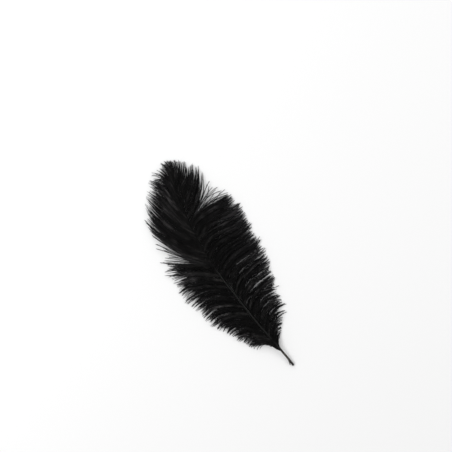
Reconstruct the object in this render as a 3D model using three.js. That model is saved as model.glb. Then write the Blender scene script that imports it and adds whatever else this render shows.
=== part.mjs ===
// Ostrich plume, lying on its underside on a flat surface.
//
// Millimetres, +Z up. +Y runs from the cut quill end to the head of the plume,
// +X to the plume's right seen from above. The origin is the middle of the
// bounding box, at the height of the surface that the plume lies on.
//
// The plume is one grown thing with two kinds of matter. The shaft is a single
// tapering length of keratin: a bare hollow quill that becomes a solid grooved
// rachis. The barbs leave it on both sides in one soft web each, which droops
// to the surface. Each web is a closed solid of the space that its barbs fill,
// reaching their tips.

import * as THREE from 'three';

// ---------------------------------------------------------------- dimensions

const QUILL_RADIUS = 1.05;        // outside, at the bare quill
const RACHIS_END_RADIUS = 0.22;   // at the thin end under the head tuft
const SHAFT_FLATNESS = 0.92;      // height of the section over its width
const GROOVE_DEPTH = 0.34;        // of the groove under the rachis, over the radius
const QUILL_BORE_RADIUS = 0.6;    // the quill is a hollow tube where it is cut
const QUILL_BORE_DEPTH = 9;
const SPLINTER_RISE = 1.15;       // lifted sliver of quill wall near the cut
const SPLINTER_FROM_CUT = 2.9;

const QUILL_END_HEIGHT = 1.15;    // centre of the shaft over the surface
const ARCH_HEIGHT = 8.2;          // centre of the shaft at the top of its arch
const RACHIS_END_HEIGHT = 2.3;

const VANE_GAP = 0.35;            // between the shaft and each web
const WEB_ABOVE_SHAFT = 1.1;      // top of the web over the shaft's centre
const WEB_BELOW_SHAFT = 1.5;
const WEB_EDGE_THICKNESS = 2.0;   // at the barb tips
const WEB_TOUCHES_AT = 0.62;      // part of a barb's length where the web meets the surface
const TUFT_DEPTH = 0.045;         // notches between tufts of tips, over the barb length

const SHAFT_STEPS = 56;
const SHAFT_SIDES = 12;
const ROWS_LEFT = 66;
const ROWS_RIGHT = [40, 3, 3, 22]; // lower barbs, into the notch, out of it, head barbs
const ALONG_BARB = [0, 0.1, 0.22, 0.35, 0.49, WEB_TOUCHES_AT, 0.8, 1];

// The quill's cut end is at (0, 0) here, and the plume is moved to its origin last.
const CENTRE = [-9.82, 111.635];

// Centreline of the shaft seen from above.
const SHAFT_LINE = [
  [0.0, 0.0], [-0.6, 4.8], [-1.2, 9.7], [-2.0, 14.6], [-2.8, 19.9], [-4.4, 28.6],
  [-5.9, 37.7], [-8.0, 49.4], [-9.3, 58.9], [-10.5, 68.1], [-11.5, 76.6], [-12.5, 86.2],
  [-14.1, 96.9], [-15.1, 107.0], [-15.8, 118.6], [-16.0, 128.0], [-16.0, 137.0],
  [-15.6, 146.5], [-14.9, 155.9], [-13.9, 165.8], [-12.3, 175.7], [-10.3, 185.6],
  [-7.9, 195.1], [-5.6, 203.5], [-3.5, 210.5], [-2.2, 215.5], [-1.5, 219.2],
];

// Guide barbs, in order up the shaft: where one leaves the shaft (x, y), its
// heading there in degrees from +X, its tip (x, y) and its heading at the tip.
const LEFT = [
  [-3.0, 19.9, 128, -19.9, 31.6, 212],
  [-3.7, 24.6, 131, -25.0, 36.2, 202],
  [-5.5, 35.6, 140, -30.0, 45.9, 194],
  [-7.9, 48.9, 140, -37.1, 59.8, 193],
  [-9.9, 62.6, 142, -45.0, 71.0, 191],
  [-11.6, 76.9, 142, -49.1, 89.8, 188],
  [-13.1, 90.6, 141, -54.3, 103.6, 184],
  [-14.7, 103.2, 140, -53.7, 120.9, 172],
  [-15.7, 115.1, 137, -54.7, 132.3, 163],
  [-15.9, 121.9, 136, -52.5, 140.8, 152],
  [-16.0, 126.3, 134, -51.6, 146.4, 145],
  [-16.0, 130.4, 134, -51.9, 155.8, 131],
  [-16.0, 134.0, 134, -50.9, 163.7, 121],
  [-15.9, 137.7, 134, -50.0, 172.0, 112],
  [-15.8, 141.9, 133, -47.9, 179.8, 107],
  [-15.6, 147.3, 133, -44.0, 188.8, 100],
  [-15.2, 153.2, 131, -39.4, 196.9, 97],
  [-14.5, 160.2, 129, -34.3, 204.2, 97],
  [-13.7, 167.3, 126, -28.5, 210.4, 99],
  [-12.4, 175.2, 122, -22.7, 214.8, 100],
  [-10.8, 183.4, 118, -17.1, 217.9, 102],
  [-8.9, 191.5, 114, -11.9, 220.3, 102],
  [-6.5, 200.3, 110, -7.8, 222.2, 100],
  [-4.0, 209.0, 105, -4.5, 223.2, 97],
  [-1.9, 216.7, 96, -2.6, 223.4, 91],
];
const RIGHT_LOWER = [
  [-2.8, 19.9, 88, 7.7, 36.2, 30],
  [-3.5, 23.7, 80, 12.8, 41.2, 27],
  [-4.6, 30.0, 72, 18.3, 46.9, 22],
  [-6.0, 38.4, 65, 21.1, 54.9, 19],
  [-7.9, 48.9, 60, 23.6, 65.0, 18],
  [-9.5, 60.5, 58, 27.3, 76.5, 19],
  [-11.1, 72.3, 57, 29.5, 89.1, 22],
  [-12.4, 84.6, 55, 34.0, 102.1, 23],
  [-13.8, 95.7, 54, 34.8, 116.8, 23],
  [-15.1, 106.2, 53, 34.3, 131.3, 22],
  [-15.7, 116.8, 52, 35.0, 147.2, 20],
  [-16.0, 125.4, 51, 34.3, 157.9, 18],
  [-16.0, 133.4, 51, 32.2, 165.7, 9],
  [-15.8, 141.9, 51, 26.8, 169.8, 13],
];
const RIGHT_NOTCH = [-15.75, 143.8, 53, 5.8, 168.6, 40];
const RIGHT_HEAD = [
  [-15.7, 145.7, 55, 20.6, 186.8, 38],
  [-15.3, 151.8, 57, 19.0, 192.7, 53],
  [-14.5, 160.2, 58, 18.0, 199.7, 62],
  [-13.4, 168.7, 59, 15.5, 205.5, 69],
  [-12.0, 177.6, 60, 12.1, 211.6, 76],
  [-10.0, 186.5, 61, 8.3, 216.0, 81],
  [-7.7, 195.8, 62, 4.9, 219.3, 84],
  [-5.0, 205.5, 65, 1.9, 221.6, 85],
  [-1.9, 216.7, 70, 0.1, 223.1, 86],
];

// ------------------------------------------------------------------- helpers

const flat = (x, y) => new THREE.Vector3(x, y, 0);
const smooth = (a, b, x) => THREE.MathUtils.smoothstep(x, a, b);

const shaftLine = new THREE.CatmullRomCurve3(
  SHAFT_LINE.map(([x, y]) => flat(x, y)), false, 'centripetal');
shaftLine.arcLengthDivisions = 600;

// Height of the shaft's centre: low at the cut, arched, low again at the head.
function shaftHeight(s) {
  const rise = Math.sin(Math.PI * Math.pow(s, 0.9)) ** 0.85;
  const ends = THREE.MathUtils.lerp(QUILL_END_HEIGHT, RACHIS_END_HEIGHT, s);
  return ends + (ARCH_HEIGHT - (QUILL_END_HEIGHT + RACHIS_END_HEIGHT) / 2) * rise;
}

function shaftRadius(s) {
  const taper = s < 0.1 ? 1 : 1 - (s - 0.1) / 0.9;
  return RACHIS_END_RADIUS + (QUILL_RADIUS - RACHIS_END_RADIUS) * Math.pow(taper, 0.85);
}

const SAMPLES = 800;
const shaftSamples = shaftLine.getSpacedPoints(SAMPLES);
function shaftStationNear(x, y) {
  let best = 0, least = Infinity;
  shaftSamples.forEach((p, i) => {
    const d = (p.x - x) ** 2 + (p.y - y) ** 2;
    if (d < least) { least = d; best = i; }
  });
  return best / SAMPLES;
}

function closedGeometry(positions, indices) {
  const g = new THREE.BufferGeometry();
  g.setAttribute('position', new THREE.Float32BufferAttribute(positions, 3));
  g.setIndex(indices);
  g.computeVertexNormals();
  return g;
}

// --------------------------------------------------------------------- shaft

// Rings of points from the cut to the thin end, and a second set of smaller
// rings back inside the quill for its open bore.
function shaftGeometry() {
  const positions = [], indices = [];
  const addRing = (s, radiusAt, flatness) => {
    const c = shaftLine.getPointAt(s);
    const t = shaftLine.getTangentAt(s);
    const side = flat(-t.y, t.x);
    const z = shaftHeight(s);
    const first = positions.length / 3;
    for (let i = 0; i < SHAFT_SIDES; i++) {
      const a = (i / SHAFT_SIDES) * 2 * Math.PI;
      const r = radiusAt(a);
      positions.push(
        c.x + side.x * Math.cos(a) * r,
        c.y + side.y * Math.cos(a) * r,
        Math.max(z + Math.sin(a) * r * flatness, 0));
    }
    return first;
  };
  const joinRings = (a, b) => {
    for (let i = 0; i < SHAFT_SIDES; i++) {
      const j = (i + 1) % SHAFT_SIDES;
      indices.push(a + i, a + j, b + j, a + i, b + j, b + i);
    }
  };
  const closeRing = (ring, s, forward) => {
    const c = shaftLine.getPointAt(s);
    const tip = positions.length / 3;
    positions.push(c.x, c.y, shaftHeight(s));
    for (let i = 0; i < SHAFT_SIDES; i++) {
      const j = (i + 1) % SHAFT_SIDES;
      if (forward) indices.push(ring + i, ring + j, tip);
      else indices.push(ring + j, ring + i, tip);
    }
  };

  const length = shaftLine.getLength();
  const splinterAt = SPLINTER_FROM_CUT / length;
  const outer = [];
  for (let k = 0; k <= SHAFT_STEPS; k++) {
    // Closer rings at the cut, where the splinter and the bore are.
    const q = k / SHAFT_STEPS;
    const s = q < 0.14 ? q * 0.286 : 0.04 + ((q - 0.14) / 0.86) * 0.957;
    const grooved = smooth(0.1, 0.2, s);
    outer.push(addRing(s, (a) => {
      const under = Math.max(0, -Math.sin(a)) ** 6;
      const left = Math.max(0, Math.cos(a + 0.1 * Math.PI)) ** 4;
      const near = Math.exp(-(((s - splinterAt) / 0.005) ** 2));
      return shaftRadius(s) * (1 - GROOVE_DEPTH * grooved * under)
        + SPLINTER_RISE * near * left;
    }, SHAFT_FLATNESS));
  }
  for (let k = 0; k < SHAFT_STEPS; k++) joinRings(outer[k], outer[k + 1]);
  closeRing(outer[SHAFT_STEPS], 1, true);

  const bore = [0, 0.35, 0.7, 0.92].map((f) =>
    addRing((f * QUILL_BORE_DEPTH) / length, () => QUILL_BORE_RADIUS * (1 - 0.25 * f), SHAFT_FLATNESS));
  joinRings(bore[0], outer[0]);
  for (let k = 0; k + 1 < bore.length; k++) joinRings(bore[k + 1], bore[k]);
  closeRing(bore[bore.length - 1], QUILL_BORE_DEPTH / length, true);
  // The bore's last cone faces back to the cut.
  const cone = SHAFT_SIDES * 3;
  for (let i = indices.length - cone; i < indices.length; i += 3) {
    [indices[i], indices[i + 1]] = [indices[i + 1], indices[i]];
  }
  return closedGeometry(positions, indices);
}

// ---------------------------------------------------------------------- webs

// `count` + 1 barbs between the first and last guide barb, as smooth as they are.
function spread(guides, count) {
  const roots = new THREE.CatmullRomCurve3(guides.map((g) => flat(g[0], g[1])), false, 'centripetal');
  const tips = new THREE.CatmullRomCurve3(guides.map((g) => flat(g[3], g[4])), false, 'centripetal');
  const barbs = [];
  for (let k = 0; k <= count; k++) {
    const t = (k / count) * (guides.length - 1);
    const i = Math.min(Math.floor(t), guides.length - 2);
    const f = t - i;
    const root = roots.getPoint(t / (guides.length - 1));
    const tip = tips.getPoint(t / (guides.length - 1));
    barbs.push([root.x, root.y, THREE.MathUtils.lerp(guides[i][2], guides[i + 1][2], f),
      tip.x, tip.y, THREE.MathUtils.lerp(guides[i][5], guides[i + 1][5], f)]);
  }
  return barbs;
}

// The plan of one barb from the shaft's flank to its tip.
function barbLine([x0, y0, out, x1, y1, end], sideSign, reach) {
  const s = shaftStationNear(x0, y0);
  const t = shaftLine.getTangentAt(s);
  const off = (shaftRadius(s) + VANE_GAP) * sideSign;
  const root = flat(x0 + t.y * off, y0 - t.x * off);
  const tip = flat(x1, y1).lerp(root, 1 - reach);
  const d = root.distanceTo(tip);
  const dir = (deg) => flat(Math.cos(THREE.MathUtils.degToRad(deg)), Math.sin(THREE.MathUtils.degToRad(deg)));
  const curve = new THREE.CubicBezierCurve3(root,
    root.clone().addScaledVector(dir(out), d * 0.42),
    tip.clone().addScaledVector(dir(end), -d * 0.38), tip);
  return { s, curve };
}

function webGeometry(barbs, sideSign) {
  const positions = [], indices = [];
  const m = ALONG_BARB.length;
  barbs.forEach((barb, k) => {
    const reach = 1 - TUFT_DEPTH * [0, 0.45, 1][k % 3];
    const { s, curve } = barbLine(barb, sideSign, reach);
    const root = shaftHeight(s);
    for (const u of ALONG_BARB) {
      const p = curve.getPoint(u);
      const lift = Math.max(root - WEB_BELOW_SHAFT, 0);
      const under = u >= WEB_TOUCHES_AT ? 0 : lift * (1 - u / WEB_TOUCHES_AT);
      const over = WEB_EDGE_THICKNESS
        + (root + WEB_ABOVE_SHAFT - WEB_EDGE_THICKNESS) * Math.pow(1 - u, 1.05);
      positions.push(p.x, p.y, under, p.x, p.y, over);
    }
  });
  const at = (k, i, top) => (k * m + i) * 2 + top;
  const quad = (a, b, c, d) => {
    if (sideSign > 0) indices.push(a, b, c, a, c, d);
    else indices.push(a, c, b, a, d, c);
  };
  const rows = barbs.length;
  for (let k = 0; k + 1 < rows; k++) {
    for (let i = 0; i + 1 < m; i++) {
      quad(at(k, i, 1), at(k, i + 1, 1), at(k + 1, i + 1, 1), at(k + 1, i, 1));
      quad(at(k, i, 0), at(k + 1, i, 0), at(k + 1, i + 1, 0), at(k, i + 1, 0));
    }
    quad(at(k, 0, 0), at(k, 0, 1), at(k + 1, 0, 1), at(k + 1, 0, 0));
    quad(at(k, m - 1, 1), at(k, m - 1, 0), at(k + 1, m - 1, 0), at(k + 1, m - 1, 1));
  }
  for (let i = 0; i + 1 < m; i++) {
    quad(at(0, i, 1), at(0, i, 0), at(0, i + 1, 0), at(0, i + 1, 1));
    quad(at(rows - 1, i, 0), at(rows - 1, i, 1), at(rows - 1, i + 1, 1), at(rows - 1, i + 1, 0));
  }
  return closedGeometry(positions, indices);
}

const [lowerRows, intoNotch, outOfNotch, headRows] = ROWS_RIGHT;
const leftBarbs = spread(LEFT, ROWS_LEFT);
const rightBarbs = [
  ...spread(RIGHT_LOWER, lowerRows),
  ...spread([RIGHT_LOWER.at(-1), RIGHT_NOTCH], intoNotch).slice(1),
  ...spread([RIGHT_NOTCH, RIGHT_HEAD[0]], outOfNotch).slice(1),
  ...spread(RIGHT_HEAD, headRows).slice(1),
];

// --------------------------------------------------------------------- plume

const shaftKeratin = new THREE.MeshStandardMaterial({ color: 0x3a3733, roughness: 0.45, metalness: 0 });
const barbBlack = new THREE.MeshStandardMaterial({ color: 0x111112, roughness: 0.8, metalness: 0 });

const plume = new THREE.Group();
function add(name, geometry, material) {
  const mesh = new THREE.Mesh(geometry, material);
  mesh.name = name;
  mesh.position.set(-CENTRE[0], -CENTRE[1], 0);
  plume.add(mesh);
}

add('shaft', shaftGeometry(), shaftKeratin);
add('vane_left', webGeometry(leftBarbs, -1), barbBlack);
add('vane_right', webGeometry(rightBarbs, 1), barbBlack);

export default plume;
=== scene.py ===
import math

import bpy
import numpy as np
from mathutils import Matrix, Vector


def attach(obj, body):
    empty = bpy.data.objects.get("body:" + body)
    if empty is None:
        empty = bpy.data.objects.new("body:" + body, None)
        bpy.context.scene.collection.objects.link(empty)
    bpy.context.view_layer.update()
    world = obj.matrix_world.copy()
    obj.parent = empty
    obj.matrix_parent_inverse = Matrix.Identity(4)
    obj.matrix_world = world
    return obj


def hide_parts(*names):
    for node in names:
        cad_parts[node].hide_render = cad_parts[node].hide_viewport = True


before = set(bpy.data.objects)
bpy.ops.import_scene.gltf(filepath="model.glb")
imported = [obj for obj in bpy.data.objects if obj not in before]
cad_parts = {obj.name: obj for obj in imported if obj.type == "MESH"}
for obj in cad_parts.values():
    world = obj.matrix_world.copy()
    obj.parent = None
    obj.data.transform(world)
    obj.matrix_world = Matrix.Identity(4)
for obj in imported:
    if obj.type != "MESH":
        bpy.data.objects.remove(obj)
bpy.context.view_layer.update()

# A black-dyed ostrich plume lying on a pale surface. Numbers below are
# millimetres in the plume's own plan, with the cut quill end at (0, 0) and +Y
# towards the head; CENTRE moves them to the row frame.
MM = 0.001
CENTRE = np.array([-9.82, 111.635])

SHAFT_LINE = np.array([
    (0.0, 0.0), (-0.6, 4.8), (-1.2, 9.7), (-2.0, 14.6), (-2.8, 19.9), (-4.4, 28.6),
    (-5.9, 37.7), (-8.0, 49.4), (-9.3, 58.9), (-10.5, 68.1), (-11.5, 76.6), (-12.5, 86.2),
    (-14.1, 96.9), (-15.1, 107.0), (-15.8, 118.6), (-16.0, 128.0), (-16.0, 137.0),
    (-15.6, 146.5), (-14.9, 155.9), (-13.9, 165.8), (-12.3, 175.7), (-10.3, 185.6),
    (-7.9, 195.1), (-5.6, 203.5), (-3.5, 210.5), (-2.2, 215.5), (-1.5, 219.2)])

# Guide barbs, in order up the shaft: root x, y, heading at the root in degrees,
# tip x, y, heading at the tip, and the two handle lengths over the chord.
LEFT_LOWER = [
    (-3.0, 19.9, 123, -19.6, 31.6, 212, .42, .38),
    (-3.7, 24.6, 131, -24.5, 35.9, 208, .42, .38),
    (-5.5, 35.6, 140, -29.3, 45.5, 202, .42, .38),
    (-7.9, 48.9, 140, -36.4, 59.4, 202, .42, .38),
    (-9.9, 62.6, 142, -44.3, 70.8, 200, .42, .38),
    (-11.6, 76.9, 142, -48.4, 89.4, 199, .42, .38),
    (-13.1, 90.6, 141, -53.4, 103.3, 191, .42, .38),
    (-14.4, 101.0, 140, -53.7, 118.5, 174, .42, .38),
    (-15.4, 110.1, 139, -54.0, 129.6, 158, .42, .38),
    (-15.7, 115.9, 137, -52.4, 140.0, 152, .42, .38),
    (-15.8, 118.0, 137, -51.3, 143.2, 148, .42, .38),
]
LEFT_HEAD = [
    (-15.9, 121.9, 139, -49.3, 172.5, 112, .42, .38),
    (-16.0, 126.3, 137, -47.9, 177.7, 107, .42, .38),
    (-16.0, 130.4, 135, -45.7, 183.4, 103, .42, .38),
    (-16.0, 134.7, 133, -43.1, 189.0, 100, .42, .38),
    (-15.9, 139.5, 131, -40.2, 194.4, 98, .42, .38),
    (-15.7, 145.1, 127, -36.9, 199.6, 104, .42, .38),
    (-15.3, 151.3, 122, -33.2, 204.5, 114, .44, .38),
    (-14.7, 158.1, 115, -29.1, 209.2, 123, .46, .38),
    (-13.9, 165.2, 108, -25.0, 212.8, 131, .50, .36),
    (-12.7, 173.2, 102, -21.1, 215.3, 146, .52, .36),
    (-11.3, 180.8, 99, -16.9, 217.4, 132, .52, .34),
    (-9.6, 188.5, 101, -13.1, 219.0, 114, .46, .36),
    (-7.4, 196.8, 104, -9.6, 221.2, 109, .42, .38),
    (-5.1, 205.0, 104, -7.0, 222.7, 107, .42, .38),
    (-3.2, 211.7, 101, -4.5, 223.3, 102, .42, .38),
    (-2.0, 216.8, 94, -2.1, 223.2, 94, .42, .38),
]
RIGHT_LOWER = [
    (-2.8, 19.9, 86, 7.3, 36.2, 10, .42, .38),
    (-3.5, 23.7, 80, 12.6, 41.0, -4, .42, .40),
    (-4.6, 30.0, 74, 18.0, 46.7, -12, .42, .40),
    (-6.0, 38.4, 68, 20.8, 54.7, -12, .42, .40),
    (-7.9, 48.9, 64, 23.3, 64.8, -8, .42, .40),
    (-9.5, 60.5, 61, 27.0, 76.3, -1, .42, .40),
    (-11.1, 72.3, 59, 29.2, 88.9, 6, .42, .40),
    (-12.5, 86.0, 56, 33.3, 102.2, 6, .42, .38),
    (-14.4, 100.0, 55, 33.2, 114.6, 12, .42, .38),
    (-15.6, 115.0, 54, 33.5, 128.5, 12, .42, .38),
    (-16.0, 130.0, 52, 33.1, 139.1, 12, .42, .38),
    (-15.9, 140.0, 50, 33.1, 147.4, 11, .42, .38),
    (-15.5, 148.0, 47, 33.3, 154.3, 9, .42, .38),
    (-15.0, 154.0, 42, 29.1, 159.6, 10, .38, .42),
    (-14.6, 158.5, 38, 28.5, 164.9, 11, .36, .44),
    (-14.3, 162.0, 34, 25.6, 168.2, -5, .34, .48),
]
RIGHT_HEAD = [
    (-14.1, 163.5, 32, 18.2, 194.2, 57, .42, .38),
    (-13.7, 167.0, 35, 17.4, 198.2, 67, .42, .38),
    (-12.9, 172.0, 38, 17.3, 202.1, 66, .42, .38),
    (-11.8, 178.0, 42, 14.8, 205.2, 64, .42, .38),
    (-10.6, 184.0, 46, 12.8, 208.2, 65, .42, .38),
    (-9.1, 190.5, 51, 9.8, 212.6, 71, .42, .38),
    (-7.1, 198.0, 57, 6.8, 217.1, 71, .42, .38),
    (-4.7, 206.5, 64, 3.0, 220.7, 81, .42, .38),
    (-2.2, 215.5, 72, -0.2, 222.8, 89, .42, .38),
]
# Single barbs that have come away from their neighbours: the same numbers.
LOOSE = [
    (-15.9, 120.1, 140, -48.6, 159.2, 118, .42, .38),
    (-15.9, 119.6, 142, -48.0, 154.2, 127, .42, .38),
    (-15.9, 119.1, 143, -46.8, 148.8, 133, .42, .38),
    (-15.9, 118.7, 143, -50.1, 147.3, 143, .42, .38),
    (-15.9, 118.3, 142, -49.5, 143.7, 149, .42, .38),
    (-14.2, 163.2, 29, 20.9, 187.4, 31, .36, .42),
    (-14.2, 163.0, 29, 18.3, 183.5, 55, .36, .42),
    (-14.2, 162.8, 29, 24.5, 179.2, 2, .36, .42),
    (-14.2, 162.6, 29, 25.7, 174.6, -15, .36, .45),
    (-14.2, 162.7, 29, 18.4, 175.4, 25, .36, .40),
    (-14.2, 162.4, 30, 24.3, 173.4, 29, .36, .50),
    (-14.3, 162.2, 30, 29.0, 173.6, 11, .36, .50),
    (-14.3, 162.0, 31, 29.9, 170.0, -15, .36, .50),
    (-14.1, 163.4, 30, 14.5, 186.3, 57, .36, .42),
    (-14.2, 163.3, 30, 17.8, 186.1, 43, .36, .42),
    (-14.2, 163.1, 29, 20.2, 181.3, 19, .36, .42),
    (-14.2, 162.9, 29, 21.8, 177.8, 7, .36, .42),
    (-15.9, 120.4, 140, -50.4, 162.2, 121, .42, .38),
    (-15.9, 120.0, 140, -53.0, 159.0, 132, .42, .38),
    (-15.9, 119.0, 142, -46.8, 146.2, 146, .42, .38),
    (-15.9, 118.6, 142, -52.0, 145.4, 146, .42, .38),
    (-15.8, 118.0, 140, -52.2, 141.2, 148, .42, .38),
    (-4.8, 31.4, 69, 19.6, 46.2, -16, .42, .38),
    (-10.8, 70.1, 57, 26.1, 70.9, -8, .42, .38),
]
# The thin lower edge of the left head lobe.
LEFT_SKIRT = [
    (-15.8, 119.7, 140, -51.4, 162.8, 129, .42, .38),
    (-15.8, 120.4, 140, -50.1, 170.2, 116, .42, .38),
    (-15.9, 121.4, 139, -50.1, 171.9, 113, .42, .38),
]
# Single tips that stand out under the left web, near the neck.
SPIKES = [
    (-2.8, 19.4, 122, -23.2, 32.7, 214, .42, .38),
    (-2.8, 19.2, 122, -20.9, 30.6, 218, .42, .38),
    (-2.7, 18.9, 122, -18.0, 30.2, 216, .42, .38),
    (-3.0, 20.2, 120, -26.0, 36.6, 206, .42, .38),
    (-2.9, 19.8, 121, -24.9, 34.8, 208, .42, .38),
]
# Short downy barbs low on the quill's left, where the web begins.
NECK = [
    (-2.4, 17.4, 127, -7.6, 27.2, 112, .40, .36),
    (-2.7, 18.6, 124, -10.6, 30.8, 138, .40, .36),
]
# Short barbs that close the webs near the shaft where two lobes part.
GAP_LEFT = [
    (-15.8, 118.4, 138, -33.3, 130.6, 152, .42, .38),
    (-15.8, 119.6, 138, -32.2, 132.4, 146, .42, .38),
    (-15.9, 120.6, 138, -34.2, 136.6, 138, .42, .38),
    (-15.9, 121.6, 139, -38.0, 143.0, 134, .42, .38),
]
GAP_RIGHT = [
    (-14.3, 162.2, 33, 9.8, 168.0, 4, .36, .42),
    (-14.2, 162.8, 32, 6.2, 170.2, 17, .36, .42),
    (-14.2, 163.3, 32, 4.0, 172.3, 31, .36, .42),
    (-14.1, 163.6, 32, 4.0, 175.1, 39, .36, .42),
]
# A crescent of barbs on the head's left that arch over their neighbours.
ARCH = [
    (-13.7, 167.0, 100, -26.3, 210.1, 174, .50, .50),
    (-13.2, 170.0, 100, -25.3, 212.5, 175, .50, .53),
    (-12.7, 173.0, 100, -23.6, 214.2, 173, .50, .53),
    (-12.2, 176.0, 99, -21.0, 215.0, 169, .50, .50),
]
# A few more barbs that close the web on the left of the head.
FILL = [
    (-13.6, 167.6, 118, -27.6, 208.4, 128, .42, .38),
    (-12.9, 172.4, 116, -24.6, 212.0, 124, .42, .38),
    (-12.0, 177.4, 114, -21.6, 214.2, 118, .42, .38),
]
# The last few barbs, which carry on past the end of the shaft.
SUMMIT = [
    (-2.4, 216.4, 98, -1.7, 223.2, 92, .42, .38),
    (-1.6, 218.6, 84, -0.9, 223.3, 86, .42, .38),
    (-1.8, 217.2, 80, -0.1, 222.9, 84, .42, .38),
]
# How far the outline of a lobe stands out past its guides, in mm at every quarter.
REACH = {
    "left_lower": [5.0, 5.0, 4.5, -4.7, -3.5, 1.3, 0.1, 0.9, 3.8, 0.2, 3.0, 3.9, 3.0, 4.6, 3.6, -2.2, 4.0, 1.9, 2.2,
                   0.1, 2.9, 3.0, 2.5, 3.8, 2.6, 3.7, 2.7, 0.1, 2.3, 2.2, -1.8, 1.3, 5.0, 5.0, 2.4, -0.2, -0.9, -4.7,
                   -0.7, 5.0, 5.0],
    "left_head": [-0.4, -2.5, 0.0, 2.5, 2.0, 3.1, 4.6, 5.0, 5.0, 5.0, 2.2, -3.6, 0.2, 1.2, 3.1, 2.1, 2.5, 5.0, 2.1,
                  -2.4, -1.7, 1.5, 2.8, 1.8, 2.8, 2.4, 0.2, -1.1, -1.8, 2.0, 3.2, 4.0, 3.0, -1.9, -5.1, -0.6, 5.0,
                  5.0, 5.0, -6.0, -6.0, -1.1, 2.8, 1.5, -1.1, -1.1, 2.9, 0.8, -0.6, 3.3, 3.3, 2.0, 0.3, -0.5, 0.2,
                  2.2, 2.1, 0.9, 0.8, 0.9, 2.0],
    "right_lower": [-6.0, -6.0, -6.0, -6.0, -6.0, -4.6, -6.0, -6.0, -5.0, 0.4, 5.0, 2.2, -3.1, -0.9, 0.9, 0.3, -2.5,
                    -4.6, -2.6, -6.0, -4.8, -1.9, -1.7, -3.0, -3.3, -2.0, 1.4, -2.4, -3.5, -0.9, -2.5, -5.1, -2.6,
                    1.4, -2.2, -2.9, -3.6, -1.7, -0.2, -2.3, -1.2, -0.2, 0.2, 0.9, -0.4, 0.3, 0.9, -0.7, 0.3, 3.6,
                    0.0, -2.0, 0.4, 4.0, 2.3, 1.8, 2.5, 4.4, 4.6, 3.2, 3.0],
    "right_head": [5.0, 5.0, 5.0, 5.0, 0.1, -5.9, -5.3, 1.0, 3.8, 2.8, 1.4, 1.3, -0.8, -1.4, 3.1, 5.0, 3.3, -1.0,
                   -2.8, -2.1, 2.2, 2.2, 0.9, 0.9, 1.1, 1.0, 0.1, 0.4, 1.2, -0.3, -0.4, 0.3, 0.8],
}
# Where a web parts between two barbs: guide index, width in mm, and where along
# the barbs the parting opens, is widest and has closed again (past 1: stays open).
PARTS = {
    "left_lower": [
        (3.2, 0.6, 0.82, 1.0, 1.4), (4.1, 0.8, 0.80, 1.0, 1.4), (5.1, 0.8, 0.78, 1.0, 1.4), (5.6, 0.9, 0.66, 0.86, 1.1),
        (6.15, 0.8, 0.66, 0.84, 1.1), (6.8, 0.9, 0.74, 1.0, 1.4), (7.35, 0.9, 0.60, 0.80, 1.1),
        (7.75, 0.9, 0.58, 0.80, 1.2), (8.3, 1.2, 0.62, 0.9, 1.5), (8.8, 1.3, 0.60, 0.9, 1.5), (9.4, 1.2, 0.60, 0.9, 1.5)],
    "left_head": [(11.4, 1.2, 0.80, 1.0, 1.5)],
    "right_lower": [
        (2.6, 1.0, 0.84, 1.0, 1.4), (4.55, 1.0, 0.86, 1.0, 1.4)],
    "right_upper": [(3.35, 0.3, 0.38, 0.58, 0.84), (4.55, 0.4, 0.56, 0.82, 1.04)],
    "right_head": [(0.35, 0.6, 0.35, 0.60, 0.95)],
}


# ------------------------------------------------------------------ the shaft

def smoothstep(a, b, x):
    x = np.clip((np.asarray(x, float) - a) / (b - a), 0, 1)
    return x * x * (3 - 2 * x)


def lerp(a, b, f):
    return a + (b - a) * f


def centripetal(points, per=40):
    """Dense points on a centripetal Catmull-Rom curve through points."""
    p = np.vstack([2 * points[0] - points[1], points, 2 * points[-1] - points[-2]])
    out = []
    for i in range(1, len(p) - 2):
        q = p[i - 1:i + 3]
        k = np.concatenate([[0], np.cumsum(np.linalg.norm(np.diff(q, axis=0), axis=1) ** 0.5)])
        t = np.linspace(k[1], k[2], per, endpoint=False)[:, None]
        a1 = (k[1] - t) / (k[1] - k[0]) * q[0] + (t - k[0]) / (k[1] - k[0]) * q[1]
        a2 = (k[2] - t) / (k[2] - k[1]) * q[1] + (t - k[1]) / (k[2] - k[1]) * q[2]
        a3 = (k[3] - t) / (k[3] - k[2]) * q[2] + (t - k[2]) / (k[3] - k[2]) * q[3]
        b1 = (k[2] - t) / (k[2] - k[0]) * a1 + (t - k[0]) / (k[2] - k[0]) * a2
        b2 = (k[3] - t) / (k[3] - k[1]) * a2 + (t - k[1]) / (k[3] - k[1]) * a3
        out.append((k[2] - t) / (k[2] - k[1]) * b1 + (t - k[1]) / (k[2] - k[1]) * b2)
    return np.vstack(out + [points[-1:]])


LINE = centripetal(SHAFT_LINE)
LINE_S = np.concatenate([[0], np.cumsum(np.linalg.norm(np.diff(LINE, axis=0), axis=1))])
SHAFT_LENGTH = LINE_S[-1]
LINE_S = LINE_S / SHAFT_LENGTH


def shaft_at(s):
    """Plan point and unit tangent at station s, 0 at the cut and 1 at the thin end."""
    s = np.asarray(s, float)
    at = lambda v: np.stack([np.interp(v, LINE_S, LINE[:, 0]), np.interp(v, LINE_S, LINE[:, 1])], -1)
    d = at(np.clip(s + 0.004, 0, 1)) - at(np.clip(s - 0.004, 0, 1))
    return at(s), d / np.linalg.norm(d, axis=-1, keepdims=True)


def shaft_height(s):
    rise = np.sin(np.pi * np.clip(s, 0, 1) ** 0.9) ** 0.85
    ends = lerp(1.15, 2.3, s)
    return ends + (8.2 - (1.15 + 2.3) / 2) * rise


def shaft_radius(s):
    taper = np.where(np.asarray(s) < 0.1, 1.0, 1 - (np.asarray(s) - 0.1) / 0.9)
    return 0.22 + (1.05 - 0.22) * np.clip(taper, 0, 1) ** 0.85


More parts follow.
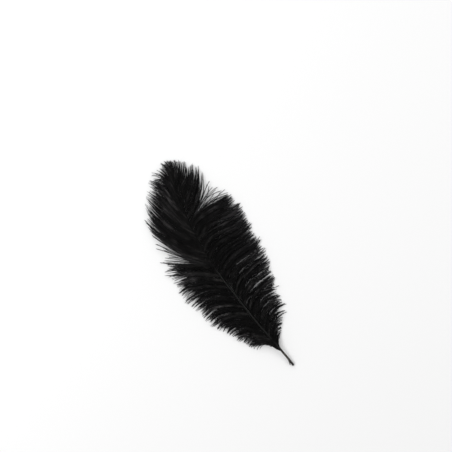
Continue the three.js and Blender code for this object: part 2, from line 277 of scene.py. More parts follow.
def station_near(x, y):
    return LINE_S[np.argmin((LINE[:, 0] - x) ** 2 + (LINE[:, 1] - y) ** 2)]


# ------------------------------------------------------------------- meshing

def make_mesh(name, verts_mm, faces, uvs, material):
    """One object from arrays: vertices in mm, a list of face arrays and a UV for each vertex."""
    co = np.asarray(verts_mm, float).copy()
    co[:, :2] -= CENTRE
    co *= MM
    me = bpy.data.meshes.new(name)
    me.vertices.add(len(co))
    me.vertices.foreach_set("co", co.astype(np.float32).ravel())
    loops = np.concatenate([f.ravel() for f in faces]).astype(np.int32)
    sizes = np.concatenate([np.full(len(f), f.shape[1]) for f in faces]).astype(np.int32)
    starts = np.concatenate([[0], np.cumsum(sizes)[:-1]]).astype(np.int32)
    me.loops.add(len(loops))
    me.loops.foreach_set("vertex_index", loops)
    me.polygons.add(len(sizes))
    me.polygons.foreach_set("loop_start", starts)
    me.polygons.foreach_set("loop_total", sizes)
    me.polygons.foreach_set("use_smooth", np.ones(len(sizes), bool))
    layer = me.uv_layers.new(name="OFBake", do_init=False)
    layer.data.foreach_set("uv", np.asarray(uvs, np.float32)[loops].ravel())
    me.update()
    me.validate()
    ob = bpy.data.objects.new(name, me)
    bpy.context.scene.collection.objects.link(ob)
    me.materials.append(material)
    return ob


# ----------------------------------------------------------------- materials

class Nodes:
    """Short-hand for building a node material."""

    def __init__(self, name):
        self.mat = bpy.data.materials.new(name)
        self.mat.use_nodes = True
        self.tree = self.mat.node_tree
        self.tree.nodes.clear()
        self.out = self.tree.nodes.new("ShaderNodeOutputMaterial")
        self.bsdf = self.tree.nodes.new("ShaderNodeBsdfPrincipled")
        self.tree.links.new(self.bsdf.outputs[0], self.out.inputs[0])

    def link(self, a, b):
        self.tree.links.new(a, b)

    def node(self, kind, **props):
        n = self.tree.nodes.new(kind)
        for k, v in props.items():
            setattr(n, k, v)
        return n

    def put(self, socket, value):
        if hasattr(value, "is_output"):
            self.link(value, socket)
        else:
            socket.default_value = value

    def math(self, op, a, b=0.0, c=0.0):
        n = self.node("ShaderNodeMath", operation=op)
        for s, v in zip(n.inputs, (a, b, c)):
            self.put(s, v)
        return n.outputs[0]

    def mix(self, fac, a, b, blend="MIX"):
        n = self.node("ShaderNodeMix", data_type="RGBA", blend_type=blend)
        self.put(n.inputs[0], fac)
        self.put(n.inputs[6], a)
        self.put(n.inputs[7], b)
        return n.outputs[2]

    def ramp(self, fac, stops, mode="LINEAR"):
        n = self.node("ShaderNodeValToRGB")
        n.color_ramp.interpolation = mode
        e = n.color_ramp.elements
        while len(e) > 1:
            e.remove(e[-1])
        e[0].position, e[0].color = stops[0][0], (*stops[0][1], 1)
        for p, c in stops[1:]:
            e.new(p).color = (*c, 1)
        self.put(n.inputs[0], fac)
        return n.outputs[0]

    def uv(self):
        m = self.node("ShaderNodeUVMap", uv_map="OFBake")
        s = self.node("ShaderNodeSeparateXYZ")
        self.link(m.outputs[0], s.inputs[0])
        return s.outputs[0], s.outputs[1]

    def vector(self, x, y, z=0.0):
        n = self.node("ShaderNodeCombineXYZ")
        for s, v in zip(n.inputs, (x, y, z)):
            self.put(s, v)
        return n.outputs[0]

    def noise(self, vec, scale=1.0, detail=2.0, rough=0.5):
        n = self.node("ShaderNodeTexNoise")
        self.link(vec, n.inputs["Vector"])
        n.inputs["Scale"].default_value = scale
        n.inputs["Detail"].default_value = detail
        n.inputs["Roughness"].default_value = rough
        return n.outputs[0]


ROWS = 96  # rows of the barbs' map, one tuft in each


def barb_material():
    """Black-dyed barbs, with painted highlight on their rami and painted sheen on some tufts: u runs root to tip, v
    picks the tuft and tells its rami from its barbules.
    """
    n = Nodes("barbs_black")
    u, v = n.uv()
    place = n.math("MULTIPLY", v, float(ROWS))
    row = n.math("FLOOR", place)
    ramus = n.math("GREATER_THAN", n.math("FRACT", place), 0.5)
    each = n.node("ShaderNodeTexWhiteNoise", noise_dimensions="1D")
    n.link(row, each.inputs["W"])
    base = n.ramp(u, [(0.0, (0.0009, 0.0009, 0.0009)), (0.30, (0.0014, 0.0014, 0.0014)),
                      (0.75, (0.0024, 0.0023, 0.0025)), (1.0, (0.0036, 0.0035, 0.0040))])
    warm = n.mix(n.math("MULTIPLY", each.outputs["Value"], 0.25), base, (0.0030, 0.0026, 0.0023, 1))
    # The rami are lighter than their barbules, more so towards the tip: a painted highlight along each barb.
    fine = n.ramp(u, [(0.0, (0.0008, 0.0008, 0.0008)), (0.45, (0.0040, 0.0039, 0.0040)), (1.0, (0.0070, 0.0068, 0.0070))])
    shown = n.mix(ramus, warm, fine)
    streak = n.noise(n.vector(n.math("MULTIPLY", u, 26.0), n.math("MULTIPLY", row, 3.1)), 1.0, 3.0, 0.6)
    # Each tuft is paler over part of its length only: partly tone that differs at random, partly painted sheen on the
    # strands.
    reach = n.noise(n.vector(n.math("MULTIPLY", u, 4.5), n.math("MULTIPLY", row, 5.7), 2.0), 1.0, 1.0, 0.5)
    pale = n.math("MULTIPLY", n.math("POWER", each.outputs["Value"], 2.0), n.math("SMOOTH_MIN", n.math(
        "MAXIMUM", n.math("MULTIPLY_ADD", reach, 4.0, -1.5), 0.0), 1.0, 0.1))
    level = n.math("MULTIPLY_ADD", streak, 0.6, n.math("MULTIPLY", pale, 0.84))
    colour = n.mix(1.0, shown, n.ramp(level, [(0.18, (0.05, 0.05, 0.05)), (0.34, (0.12, 0.12, 0.12)),
                                              (0.50, (0.27, 0.27, 0.27)), (0.75, (0.58, 0.58, 0.58)),
                                              (1.0, (1.0, 1.0, 1.0))]), "MULTIPLY")
    colour = n.mix(1.0, colour, (22.0, 22.0, 22.0, 1), "MULTIPLY")
    n.link(colour, n.bsdf.inputs["Base Color"])
    n.link(n.math("MULTIPLY_ADD", streak, 0.28, 0.36), n.bsdf.inputs["Roughness"])
    n.bsdf.inputs["Specular IOR Level"].default_value = 0.07
    return n.mat


def shaft_material():
    """Dyed keratin, with painted shade where the barbs cover it: u runs from the cut to the thin end, v round the
    section.
    """
    n = Nodes("shaft_keratin")
    u, v = n.uv()
    # Lighter on the bare quill near the cut and along the open rachis; darkest at the neck and in the head, where the
    # barb roots close over the shaft: painted shade.
    base = n.ramp(u, [(0.0, (0.016, 0.0145, 0.0145)), (0.012, (0.020, 0.018, 0.018)), (0.035, (0.038, 0.035, 0.031)),
                      (0.065, (0.044, 0.040, 0.034)), (0.080, (0.014, 0.013, 0.012)), (0.12, (0.0018, 0.0017, 0.0017)),
                      (0.17, (0.0026, 0.0026, 0.0025)),
                      (0.30, (0.0036, 0.0035, 0.0034)), (0.47, (0.0046, 0.0045, 0.0044)), (0.55, (0.0010, 0.0010, 0.0010))])
    grain = n.noise(n.vector(n.math("MULTIPLY", u, 34.0), n.math("MULTIPLY", v, 46.0)), 1.0, 4.0, 0.6)
    blotch = n.noise(n.vector(n.math("MULTIPLY", u, 60.0), n.math("MULTIPLY", v, 3.0), 4.0), 1.0, 3.0, 0.55)
    shade = n.ramp(n.math("MULTIPLY_ADD", grain, 0.6, n.math("MULTIPLY", blotch, 0.4)),
                   [(0.28, (0.62, 0.62, 0.62)), (0.72, (1.45, 1.42, 1.38))])
    n.link(n.mix(1.0, base, shade, "MULTIPLY"), n.bsdf.inputs["Base Color"])
    n.link(n.math("MULTIPLY_ADD", grain, 0.25, 0.27), n.bsdf.inputs["Roughness"])
    n.bsdf.inputs["Specular IOR Level"].default_value = 0.15
    bump = n.node("ShaderNodeBump")
    bump.inputs["Strength"].default_value = 0.35
    bump.inputs["Distance"].default_value = 0.00006
    n.link(grain, bump.inputs["Height"])
    n.link(bump.outputs[0], n.bsdf.inputs["Normal"])
    return n.mat


# --------------------------------------------------------------------- barbs

def guide(table, t):
    """A guide barb at real index t: root, heading, tip, heading, handles."""
    g = np.asarray(table, float)
    i = int(np.clip(math.floor(t), 0, len(g) - 2))
    f = t - i
    q = g[np.clip([i - 1, i, i + 1, i + 2], 0, len(g) - 1)]
    # Smooth through the guides, never past them.
    m0, m1 = (q[2] - q[0]) / 2, (q[3] - q[1]) / 2
    f2, f3 = f * f, f * f * f
    return ((2 * f3 - 3 * f2 + 1) * q[1] + (f3 - 2 * f2 + f) * m0
            + (-2 * f3 + 3 * f2) * q[2] + (f3 - f2) * m1)


def plan_curve(g, u, reach=1.0, turn0=0.0, turn1=0.0):
    root, tip = g[0:2], g[3:5]
    tip = root + (tip - root) * reach
    d = np.linalg.norm(tip - root)
    a0, a1 = math.radians(g[2] + turn0), math.radians(g[5] + turn1)
    p1 = root + d * g[6] * np.array([math.cos(a0), math.sin(a0)])
    p2 = tip - d * g[7] * np.array([math.cos(a1), math.sin(a1)])
    u = u[:, None]
    return (1 - u) ** 3 * root + 3 * (1 - u) ** 2 * u * p1 + 3 * (1 - u) * u * u * p2 + u ** 3 * tip


def stations(table, count, rng, crowd=()):
    """Real guide indices of `count` barbs, spread by the room that they have."""
    out = np.array([plan_curve(np.asarray(g, float), np.array([0.0, 0.5, 0.75, 1.0])) for g in table])
    room = np.linalg.norm(np.diff(out, axis=0), axis=2) @ np.array([0.2, 0.25, 0.3, 0.25])
    for first, last, more in crowd:
        room[first:last] *= more
    c = np.concatenate([[0], np.cumsum(room)])
    f = (np.arange(count) + 0.5 + rng.uniform(-0.32, 0.32, count)) / count
    return np.interp(f * c[-1], c, np.arange(len(table)))


class Fibres:
    """Collects the barbs of one piece."""

    def __init__(self):
        self.v, self.f, self.uv, self.n = [], [], [], 0
        self.faces = 0

    def add(self, v, faces, uv):
        self.v.append(v)
        self.uv.append(uv)
        self.f += [f + self.n for f in faces]
        self.faces += sum(len(f) * (f.shape[1] - 2) for f in faces)
        self.n += len(v)


RAMUS_SIDES = 4
STEPS = 44
U = np.linspace(0, 1, STEPS)


def add_barb(out, path, hush, tuft, rng, spec, thick=1.0):
    """A ramus along path (n, 3) and its two rows of barbules."""
    step = np.linalg.norm(np.diff(path, axis=0), axis=1)
    arc = np.concatenate([[0], np.cumsum(step)])
    total = arc[-1]
    at = lambda s: np.stack([np.interp(s, arc, path[:, k]) for k in range(3)], -1)

    # A tuft has one band of the map: its barbules in the lower half, its rami in the upper, where the material paints
    # their highlight.
    row = tuft % ROWS

    # The ramus: a four-sided tube that thins to a point.
    rings = int(np.clip(total / 2.4, 7, 26))
    u = np.linspace(0, 1, rings)
    c = at(u * total)
    t = np.gradient(c, axis=0)
    t /= np.linalg.norm(t, axis=1, keepdims=True)
    flat = np.cross([0, 0, 1.0], t)
    flat /= np.linalg.norm(flat, axis=1, keepdims=True)
    up = np.cross(t, flat)
    r = thick * (0.06 + 0.12 * (1 - u) ** 0.8) * smoothstep(1.03, 0.90, u) + 0.004
    a = np.arange(RAMUS_SIDES) * 2 * np.pi / RAMUS_SIDES
    ring = (c[:, None] + r[:, None, None] * (np.cos(a)[None, :, None] * flat[:, None]
                                               + 1.2 * np.sin(a)[None, :, None] * up[:, None]))
    verts = ring.reshape(-1, 3)
    verts[:, 2] = np.maximum(verts[:, 2], 0.01)
    k = np.arange(rings - 1)[:, None] * RAMUS_SIDES
    i = np.arange(RAMUS_SIDES)[None]
    j = (i + 1) % RAMUS_SIDES
    quads = np.stack([k + i, k + j, k + j + RAMUS_SIDES, k + i + RAMUS_SIDES], -1).reshape(-1, 4)
    caps = np.array([[3, 2, 1, 0], (rings - 1) * RAMUS_SIDES + np.arange(4)])
    uv = np.stack([np.repeat(u, RAMUS_SIDES) * 0.98 + 0.01,
                   (row + 0.75 + 0.12 * np.tile(np.array([-1, -0.4, 1, 0.4]), rings)) / ROWS], -1)
    out.add(verts, [quads, caps], uv)

    # Barbules: narrow closed blades, bent at their widest place, tapering to a point.
    # They stand closer, shorter and flatter to the ramus towards the barb's tip.
    fine = np.linspace(0, total, 400)
    gap = lerp(spec["gap"][1], spec["gap"][0], smoothstep(2.0, 11.0, total - fine))
    pace = np.concatenate([[0], np.cumsum((fine[1] - fine[0]) * 2 / (0.5 * (gap[1:] + gap[:-1])))])
    count = int(pace[-1])
    s = np.interp(np.arange(count) + rng.uniform(-0.4, 0.4, count), pace, fine) + spec["bare"]
    s = s[(s > 0.2) & (s < total - 0.12)]
    n = len(s)
    hand = np.where(np.arange(n) % 2 == 0, 1.0, -1.0)
    f, d = s / total, total - s
    quiet = np.interp(f, U, hush)
    p0 = at(s)
    t = at(np.minimum(s + 0.6, total)) - at(np.maximum(s - 0.6, 0))
    t /= np.linalg.norm(t, axis=1, keepdims=True)
    flat = np.cross([0, 0, 1.0], t)
    flat /= np.linalg.norm(flat, axis=1, keepdims=True)
    up = np.cross(t, flat)
    length = spec["length"] * (0.5 + 0.5 * smoothstep(0, min(7.0, 0.4 * total), s))
    length = np.minimum(length, spec["tip"][0] + spec["tip"][1] * d)
    length = length * rng.uniform(0.7, 1.25, n) * (1 - 0.45 * quiet)
    near = smoothstep(0, spec["taper"], d)
    spread = lerp(spec["angle"][1], spec["angle"][0], near) + 6 * (1 - smoothstep(0, 8, s))
    spread = np.radians(spread * rng.uniform(0.6, 1.4, n)) * (1 - 0.5 * quiet)
    roll = np.radians(rng.normal(0, spec["roll"], n))
    wild = rng.random(n) < 0.10
    roll[wild] = np.radians(rng.uniform(-85, 85, wild.sum()))
    outward = hand[:, None] * np.cos(roll)[:, None] * flat + np.sin(roll)[:, None] * up
    bend = rng.uniform(0.1, 0.75, n)
    d1 = np.cos(spread)[:, None] * t + np.sin(spread)[:, None] * outward
    d2 = np.cos(spread * bend)[:, None] * t + np.sin(spread * bend)[:, None] * outward
    p1 = p0 + d1 * (length * 0.45)[:, None]
    p2 = p1 + d2 * (length * 0.55)[:, None]
    p2[:, 2] -= 0.05 * length
    p1[:, 2] = np.maximum(p1[:, 2], 0.10)
    p2[:, 2] = np.maximum(p2[:, 2], 0.04)
    # The blade's flat faces up, give or take a twist.
    wide = np.cross(up, d1)
    wide /= np.linalg.norm(wide, axis=1, keepdims=True)
    high = np.cross(d1, wide)
    twist = rng.normal(0, 0.6, n)
    across = np.cos(twist)[:, None] * wide + np.sin(twist)[:, None] * high
    thin = np.cross(d1, across)
    half = lerp(spec["width"][1], spec["width"][0], smoothstep(0, 9, d)) * rng.uniform(0.8, 1.25, n)
    m0 = p1 + across * half[:, None] + thin * 0.03
    m1 = p1 - across * half[:, None] + thin * 0.03
    m0[:, 2] = np.maximum(m0[:, 2], 0.012)
    m1[:, 2] = np.maximum(m1[:, 2], 0.012)
    volume = np.einsum("ij,ij->i", np.cross(m0 - p0, m1 - p0), p2 - p0)
    turn = volume < 0
    m0[turn], m1[turn] = m1[turn].copy(), m0[turn].copy()
    # The few that come out all but flat are left out.
    full = np.abs(volume) > 3e-5
    n, f = int(full.sum()), f[full]
    verts = np.stack([p0, m0, m1, p2], 1)[full].reshape(-1, 3)
    b = np.arange(n)[:, None] * 4
    tri = np.array([[0, 2, 1], [3, 1, 2], [0, 1, 3], [0, 3, 2]])
    faces = (b[:, None, :] + tri[None]).reshape(-1, 3)
    du = 0.006
    uu = np.stack([f, f + du, f + du, f + 2 * du], 1) * 0.97 + 0.01
    vv = np.stack([np.zeros(n), -np.ones(n), np.ones(n), np.zeros(n)], 1)
    out.add(verts, [faces], np.stack([uu, (row + 0.27 + 0.16 * vv) / ROWS], -1).reshape(-1, 2))


def over_shaft(s):
    """1 where the roots close over the top of the shaft: at the neck and in the head."""
    return float(max(1 - smoothstep(0.14, 0.19, s), smoothstep(0.47, 0.55, s)))


def barb_path(plan, s, layer, rng, tip_lift=0.0, over=0.0):
    """Height along a barb's plan: it leaves the shaft's flank, arches and droops."""
    zc, r = float(shaft_height(s)), float(shaft_radius(s))
    z0 = zc + lerp(0.12, 1.02, over) * r
    z1 = zc + lerp(-2.2, 2.4, layer) * (0.35 + 0.65 * min(zc / 8, 1))
    z2 = lerp(0.7, 0.62 * zc + 1.8, layer)
    z3 = lerp(0.25, 2.1, layer ** 1.4) + tip_lift
    u = U
    z = (1 - u) ** 3 * z0 + 3 * (1 - u) ** 2 * u * z1 + 3 * (1 - u) * u * u * z2 + u ** 3 * z3
    z += 0.28 * np.sin(2 * np.pi * (u * rng.uniform(0.8, 1.8) + rng.random())) * u * (1 - 0.4 * u)
    return np.column_stack([plan, np.maximum(z, 0.16)])


def parting(t, parts):
    """Sideways shift (towards higher indices) and quiet along a barb at index t."""
    shift, quiet = np.zeros(STEPS), np.zeros(STEPS)
    for where, width, opens, widest, closed in parts:
        d = t - where
        f = smoothstep(opens, widest, U) * (1 - smoothstep(widest, closed, U))
        shift += 0.5 * width * np.sign(d) * math.exp(-abs(d) / 0.30) * f
        quiet = np.maximum(quiet, f * math.exp(-(d / 0.22) ** 2))
    return shift, quiet


def grow(table, count, side, seed, spec, parts=(), crowd=(), edge=(0.0, 0.0)):
    """The paths of all barbs that follow a table of guides, in tufts."""
    rng = np.random.default_rng(seed)
    edge_at = np.linspace(0, len(table) - 1, len(edge))
    ts = np.sort(stations(table, count, rng, crowd))
    barbs = []
    i = tufts = 0
    while i < count:
        size = int(rng.integers(*spec["tuft"]))
        group = ts[i:i + size]
        i += size
        mid = group.mean()
        pull = rng.uniform(*spec["clump"])
        chord = np.linalg.norm(guide(table, mid)[3:5] - guide(table, mid)[0:2]) * 1.06
        start = max(1 - rng.uniform(*spec["parted"]) / chord, 0.25)
        tuft_reach = 1 + rng.normal(0, spec["ragged"])
        tuft_turn = rng.normal(0, spec["splay"])
        tuft_layer = rng.beta(*spec["layers"])
        sway = rng.normal(0, 0.18) * np.sin(2 * np.pi * (U * rng.uniform(0.8, 1.8) + rng.random())) * U
        tufts += 1
        for t in group:
            g = guide(table, t)
            reach = tuft_reach * (1 + rng.normal(0, spec["ragged"] * 0.6)) - spec["short"]
            if rng.random() < spec["fall"][0]:
                reach *= rng.uniform(spec["fall"][1], 0.97)
            reach = float(np.clip(reach, 0.62, 1.03))
            reach += float(np.interp(t, edge_at, edge)) / np.linalg.norm(g[3:5] - g[0:2])
            turn = rng.normal(0, 2.6)
            own = plan_curve(g, U, reach, turn, tuft_turn + rng.normal(0, 4.0))
            mean = plan_curve(guide(table, mid), U, reach, turn, tuft_turn)
            p = own + (mean - own) * (pull * smoothstep(start, 1.0, U))[:, None]
            d = np.gradient(p, axis=0)
            d /= np.linalg.norm(d, axis=1, keepdims=True)
            nrm = np.column_stack([-d[:, 1], d[:, 0]])
            wiggle = (rng.normal(0, 0.42) * np.sin(2 * np.pi * (U * rng.uniform(0.8, 2.2) + rng.random())) * U ** 0.8)
            wiggle *= 1 - pull * smoothstep(start - 0.1, 1.0, U)
            shift, quiet = parting(t, parts)
            p = p + nrm * (wiggle + sway + side * shift)[:, None]
            s = float(station_near(g[0], g[1]))
            # The root sits in the shaft's flank.
            c, tan = shaft_at(s)
            over = over_shaft(s) * rng.uniform(0.7, 1.0)
            flank = c + side * np.array([tan[1], -tan[0]]) * shaft_radius(s) * lerp(0.82, -0.30, over)
            p = p + (flank - p[0]) * (1 - smoothstep(0.0, 0.5, U))[:, None]
            layer = float(np.clip(tuft_layer + rng.normal(0, 0.12), 0, 1))
            barbs.append((barb_path(p, s, layer, rng, abs(rng.normal(0, 0.35)), over), quiet, tufts + seed))
    return barbs, rng


LOWER = dict(gap=(0.31, 0.21), bare=0.25, roll=24, length=2.9, tip=(1.0, 0.19), angle=(31, 20), taper=9,
             width=(0.105, 0.075), tuft=(1, 4), clump=(0.25, 0.7), parted=(3.0, 7.0), ragged=0.028, splay=6,
             short=0.0, layers=(1.2, 1.1), fall=(0.22, 0.86))
UPPER = dict(LOWER, length=2.9, angle=(30, 18), tip=(0.9, 0.15), taper=9, tuft=(1, 3), clump=(0.2, 0.6),
             parted=(4.0, 9.0), splay=5)
HEAD = dict(gap=(0.30, 0.20), bare=0.2, roll=22, length=2.5, tip=(0.7, 0.08), angle=(22, 9), taper=14,
            width=(0.105, 0.065), tuft=(2, 5), clump=(0.75, 0.95), parted=(6.0, 13.0), ragged=0.026, splay=2,
            short=0.0, layers=(1.2, 1.1), fall=(0.32, 0.85))
OVER = dict(HEAD, tuft=(2, 3), layers=(5.0, 1.0), length=1.8, parted=(8.0, 14.0))
# The head's right side and its very tip stand in separate points.
POINTS = dict(HEAD, fall=(0.22, 0.86), tuft=(1, 4), clump=(0.6, 0.9), parted=(9.0, 16.0), tip=(0.7, 0.08), taper=16)
TIP = dict(HEAD, fall=(0.22, 0.86), tuft=(1, 3), clump=(0.4, 0.8), parted=(8.0, 14.0), tip=(0.7, 0.08), taper=16)
STRAY = dict(gap=(0.19, 0.16), bare=0.6, roll=20, length=1.5, tip=(1.3, 0.0), angle=(15, 15), taper=16,
             width=(0.10, 0.09))

black = barb_material()
keratin = shaft_material()


def split(barbs, rng, spec, names, node):
    """Makes one piece of each share of the barbs."""
    shares = np.array_split(np.arange(len(barbs)), len(names))
    made = []
    for name, share in zip(names, shares):
        out = Fibres()
        for k in share:
            add_barb(out, *barbs[k], rng, spec)
        ob = make_mesh(name, np.vstack(out.v), out.f, np.vstack(out.uv), black)
        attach(ob, "root")
        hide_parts(node)
        made.append((name, out.faces))
    return made


made = []
b, r = grow(LEFT_LOWER, 138, -1, 102, LOWER, PARTS["left_lower"], (), REACH["left_lower"])
more, _ = grow(GAP_LEFT, 7, -1, 21, dict(LOWER, tip=(0.5, 0.09)))
low, _ = grow(NECK, 5, -1, 33, dict(LOWER, tip=(0.4, 0.09)))
made += split(low + b + more, r, LOWER, ["barbs_left_base", "barbs_left_middle"], "vane_left")
b, r = grow(LEFT_HEAD[:12], 150, -1, 171, HEAD, PARTS["left_head"], [(9, 11, 1.0)], REACH["left_head"][:45])
more, _ = grow(ARCH, 12, -1, 26, OVER)
fill, _ = grow(FILL, 14, -1, 41, dict(HEAD, tip=(0.6, 0.09)))
made += split(b + more + fill, r, HEAD, ["barbs_left_head", "barbs_left_crown"], "vane_left")
b, r = grow(LEFT_HEAD[11:], 54, -1, 306, TIP, (), (), REACH["left_head"][44:])
more, _ = grow(SUMMIT, 6, -1, 31, TIP)
made += split(b + more, r, TIP, ["barbs_left_tip"], "vane_left")
b, r = grow(RIGHT_LOWER[:9], 92, 1, 410, LOWER, PARTS["right_lower"], (), REACH["right_lower"][:33])
made += split(b, r, LOWER, ["barbs_right_base"], "vane_right")
b, r = grow(RIGHT_LOWER[8:], 102, 1, 502, UPPER, PARTS["right_upper"], [(4, 7, 1.2)], REACH["right_lower"][32:])
b = [(path, hush, tuft + 5) for path, hush, tuft in b]
made += split(b, r, UPPER, ["barbs_right_middle"], "vane_right")
b, r = grow(RIGHT_HEAD, 94, 1, 608, POINTS, PARTS["right_head"], [(0, 2, 0.7), (6, 8, 1.4)], REACH["right_head"])
more, _ = grow(GAP_RIGHT, 11, 1, 24, dict(LOWER, tip=(0.5, 0.09)))
made += split(more + b, r, POINTS, ["barbs_right_head"], "vane_right")

rng = np.random.default_rng(15)
out = Fibres()
for g in LOOSE + LEFT_SKIRT + SPIKES:
    g = np.array(g)
    side = -1 if g[3] < g[0] else 1
    p = plan_curve(g, U)
    s = float(station_near(g[0], g[1]))
    c, tan = shaft_at(s)
    flank = c + side * np.array([tan[1], -tan[0]]) * shaft_radius(s) * 0.82
    p = p + (flank - p[0]) * (1 - smoothstep(0, 0.5, U))[:, None]
    add_barb(out, barb_path(p, s, rng.uniform(0.35, 0.95), rng, rng.uniform(0.2, 1.5)), np.zeros(STEPS),
             int(rng.integers(ROWS)), rng, STRAY, 2.3)
ob = make_mesh("barbs_loose", np.vstack(out.v), out.f, np.vstack(out.uv), black)
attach(ob, "root")
made.append(("barbs_loose", out.faces))


# ------------------------------------------------------------ shaft and quill

def shaft_piece():
    sides, rings = 36, 300
    a = np.arange(sides) * 2 * np.pi / sides
    q = np.linspace(0, 1, rings)
    s = np.where(q < 0.2, q * 0.25, 0.05 + (q - 0.2) / 0.8 * 0.95)
    rng = np.random.default_rng(5)
    c, t = shaft_at(s)
    side = np.column_stack([-t[:, 1], t[:, 0]])
    z, r0 = shaft_height(s), shaft_radius(s)
    grooved = smoothstep(0.1, 0.2, s)[:, None]
    under = np.maximum(0, -np.sin(a))[None] ** 6
    ridge = sum(rng.uniform(0.3, 1) * np.cos(k * a + rng.uniform(0, 6.3)) for k in (7, 9, 11, 13))[None]
    left = np.maximum(0, np.cos(a + 0.1 * np.pi))[None] ** 4
    near = np.exp(-(((s - 4.6 / SHAFT_LENGTH) / 0.0060) ** 2))[:, None]
    r = r0[:, None] * (1 - 0.34 * grooved * under + 0.012 * ridge * (1 - smoothstep(0.9, 1, s))[:, None])
    r = r + 0.22 * near * left * (1 + 0.25 * ridge * 0.2)
    # The cut end is a little crushed and ragged.
    end = np.exp(-s * SHAFT_LENGTH / 1.6)[:, None]
    r = r * (1 + 0.10 * end * np.cos(2 * (a - 0.4))[None])
    along = (0.35 * np.cos(a - 2.2) + 0.12 * np.cos(3 * a + 1) + 0.10 * np.cos(5 * a))[None] * end
    wob = 0.04 * np.sin(s * 61) * (1 - s)
    x = c[:, None, 0] + side[:, None, 0] * np.cos(a)[None] * r + t[:, None, 0] * along
    y = c[:, None, 1] + side[:, None, 1] * np.cos(a)[None] * r + t[:, None, 1] * along
    zz = (z + wob)[:, None] + np.sin(a)[None] * r * 0.92
    outer = np.stack([x, y, np.maximum(zz, 0.02)], -1).reshape(-1, 3)
    uv_o = np.stack([np.repeat(s, sides), np.tile(np.abs(((a / np.pi + 0.5) % 2) - 1), rings)], -1)
    quads = []

    def band(first, second):
        i = np.arange(sides)
        j = (i + 1) % sides
        quads.append(np.stack([first + i, first + j, second + j, second + i], -1))

    for k in range(rings - 1):
        band(k * sides, (k + 1) * sides)
    n = len(outer)
    verts, uvs = [outer], [uv_o]
    # The open bore: a thin-walled tube that closes in a dome of dry pith.
    depth = np.array([0.0, 0.25, 1, 2, 3, 4.5, 6, 7.5, 8.4, 8.9])
    share = np.array([0.66, 0.62, 0.60, 0.60, 0.60, 0.58, 0.56, 0.50, 0.36, 0.12])
    first = None
    for d, w in zip(depth, share):
        sb = d / SHAFT_LENGTH
        cb, tb = shaft_at(sb)
        sd = np.array([-tb[1], tb[0]])
        rb = float(shaft_radius(sb)) * w * (1 + 0.10 * math.exp(-d / 1.6) * np.cos(2 * (a - 0.4)))
        al = (0.35 * np.cos(a - 2.2) + 0.12 * np.cos(3 * a + 1) + 0.10 * np.cos(5 * a)) * math.exp(-d / 1.6)
        ring = np.stack([cb[0] + sd[0] * np.cos(a) * rb + tb[0] * al,
                         cb[1] + sd[1] * np.cos(a) * rb + tb[1] * al,
                         float(shaft_height(sb)) + np.sin(a) * rb * 0.92], -1)
        verts.append(ring)
        uvs.append(np.stack([np.full(sides, 0.004), np.abs(((a / np.pi + 0.5) % 2) - 1)], -1))
        if first is None:
            band(n, 0)
            first = n
        else:
            band(n, n - sides)
        n += sides
    bottom = np.array([[*shaft_at(9.0 / SHAFT_LENGTH)[0], float(shaft_height(9.0 / SHAFT_LENGTH))]])
    tip = np.array([[*shaft_at(1.0)[0], float(shaft_height(1.0))]])
    verts += [bottom, tip]
    uvs += [np.array([[0.004, 0.5]]), np.array([[1.0, 0.5]])]
    i = np.arange(sides)
    j = (i + 1) % sides
    last = n - sides
    caps = np.vstack([np.stack([last + j, last + i, np.full(sides, n)], -1)[:, ::-1],
                      np.stack([(rings - 1) * sides + i, (rings - 1) * sides + j, np.full(sides, n + 1)], -1)])
    # A sliver of quill wall, still rooted in the tube, that has sprung away from it.
    n += 2
    m, start = 10, n
    b = np.arange(m) * 2 * np.pi / m
    run = np.linspace(0, 1, 16)
    for f in run:
        sb = lerp(7.4, 2.5, f) / SHAFT_LENGTH
        cb, tb = shaft_at(sb)
        sd = np.array([-tb[1], tb[0]])
        away = float(shaft_radius(sb)) * 0.72 + 1.35 * f ** 1.5
        fat = (0.34 + 0.10 * f) * float(smoothstep(-0.12, 0.2, f)) * (1 - 0.40 * float(smoothstep(0.92, 1.0, f)))
        ragged = 0.30 * float(smoothstep(0.8, 1.0, f)) * np.cos(2 * b + 0.7)
        verts.append(np.stack([cb[0] + sd[0] * (away + np.cos(b) * fat) + tb[0] * ragged,
                               cb[1] + sd[1] * (away + np.cos(b) * fat) + tb[1] * ragged,
                               float(shaft_height(sb)) + 0.15 + 0.25 * f + np.sin(b) * fat * 0.8], -1))
        uvs.append(np.stack([np.full(m, 0.004 + 0.02 * (1 - f)), 0.4 + 0.15 * np.cos(b)], -1))
        n += m
    i = np.arange(m)
    j = (i + 1) % m
    sliver = np.vstack([np.stack([start + k * m + j, start + k * m + i, start + (k + 1) * m + i,
                                  start + (k + 1) * m + j], -1) for k in range(len(run) - 1)])
    ends = [start + np.arange(m)[None, :], (n - m + np.arange(m)[::-1])[None, :]]
    return make_mesh("shaft_keratin", np.vstack(verts), [np.vstack(quads), caps, sliver, *ends], np.vstack(uvs), keratin)


shaft = shaft_piece()
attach(shaft, "root")
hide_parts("shaft")
made.append(("shaft_keratin", len(shaft.data.polygons) * 2))


# ------------------------------------------------------- floor, light, camera

n = Nodes("floor_pale")
n.bsdf.inputs["Base Color"].default_value = (0.80, 0.80, 0.80, 1)
n.bsdf.inputs["Roughness"].default_value = 0.85
n.bsdf.inputs["Specular IOR Level"].default_value = 0.2
me = bpy.data.meshes.new("floor")
me.from_pydata([(-3, -3, 0), (3, -3, 0), (3, 3, 0), (-3, 3, 0)], [], [(0, 1, 2, 3)])
me.materials.append(n.mat)
floor = bpy.data.objects.new("floor", me)
bpy.context.scene.collection.objects.link(floor)

world = bpy.data.worlds.new("studio")
world.use_nodes = True
world.node_tree.nodes["Background"].inputs[0].default_value = (1.0, 1.0, 1.0, 1)
world.node_tree.nodes["Background"].inputs[1].default_value = 0.75
bpy.context.scene.world = world


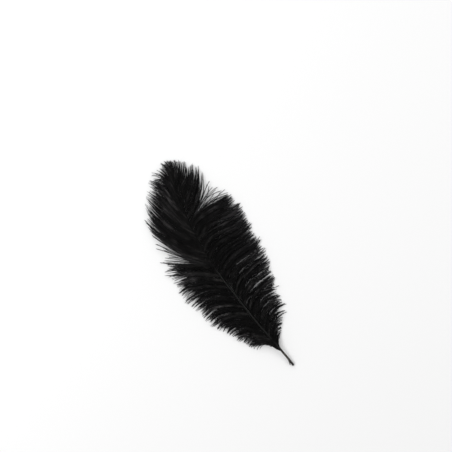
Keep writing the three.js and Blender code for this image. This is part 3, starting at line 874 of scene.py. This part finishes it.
def softbox(name, place, aim, size, watts):
    data = bpy.data.lights.new(name, "AREA")
    data.shape = "DISK"
    data.size = size
    data.energy = watts
    ob = bpy.data.objects.new(name, data)
    ob.location = place
    ob.rotation_mode = "QUATERNION"
    ob.rotation_quaternion = (Vector(aim) - Vector(place)).to_track_quat("-Z", "Y")
    bpy.context.scene.collection.objects.link(ob)


softbox("key", (-0.75, 0.55, 0.95), (0, 0, 0), 0.5, 7)
softbox("fill", (0.95, -0.35, 0.8), (0, 0, 0), 0.8, 3)
softbox("rim", (0.2, 1.1, 0.55), (0, 0, 0), 0.4, 3.5)

cam_data = bpy.data.cameras.new("camera")
cam_data.sensor_width = 36
cam_data.lens = 50
cam_data.clip_start, cam_data.clip_end = 0.01, 20
cam = bpy.data.objects.new("camera", cam_data)
cam.location = (0.0230, 0.0324, 0.588)
cam.rotation_euler = (0, 0, math.radians(-31.12))
bpy.context.scene.collection.objects.link(cam)
bpy.context.scene.camera = cam

bpy.context.scene.view_settings.view_transform = "Standard"

print("PIECES", made, sum(k for _, k in made))
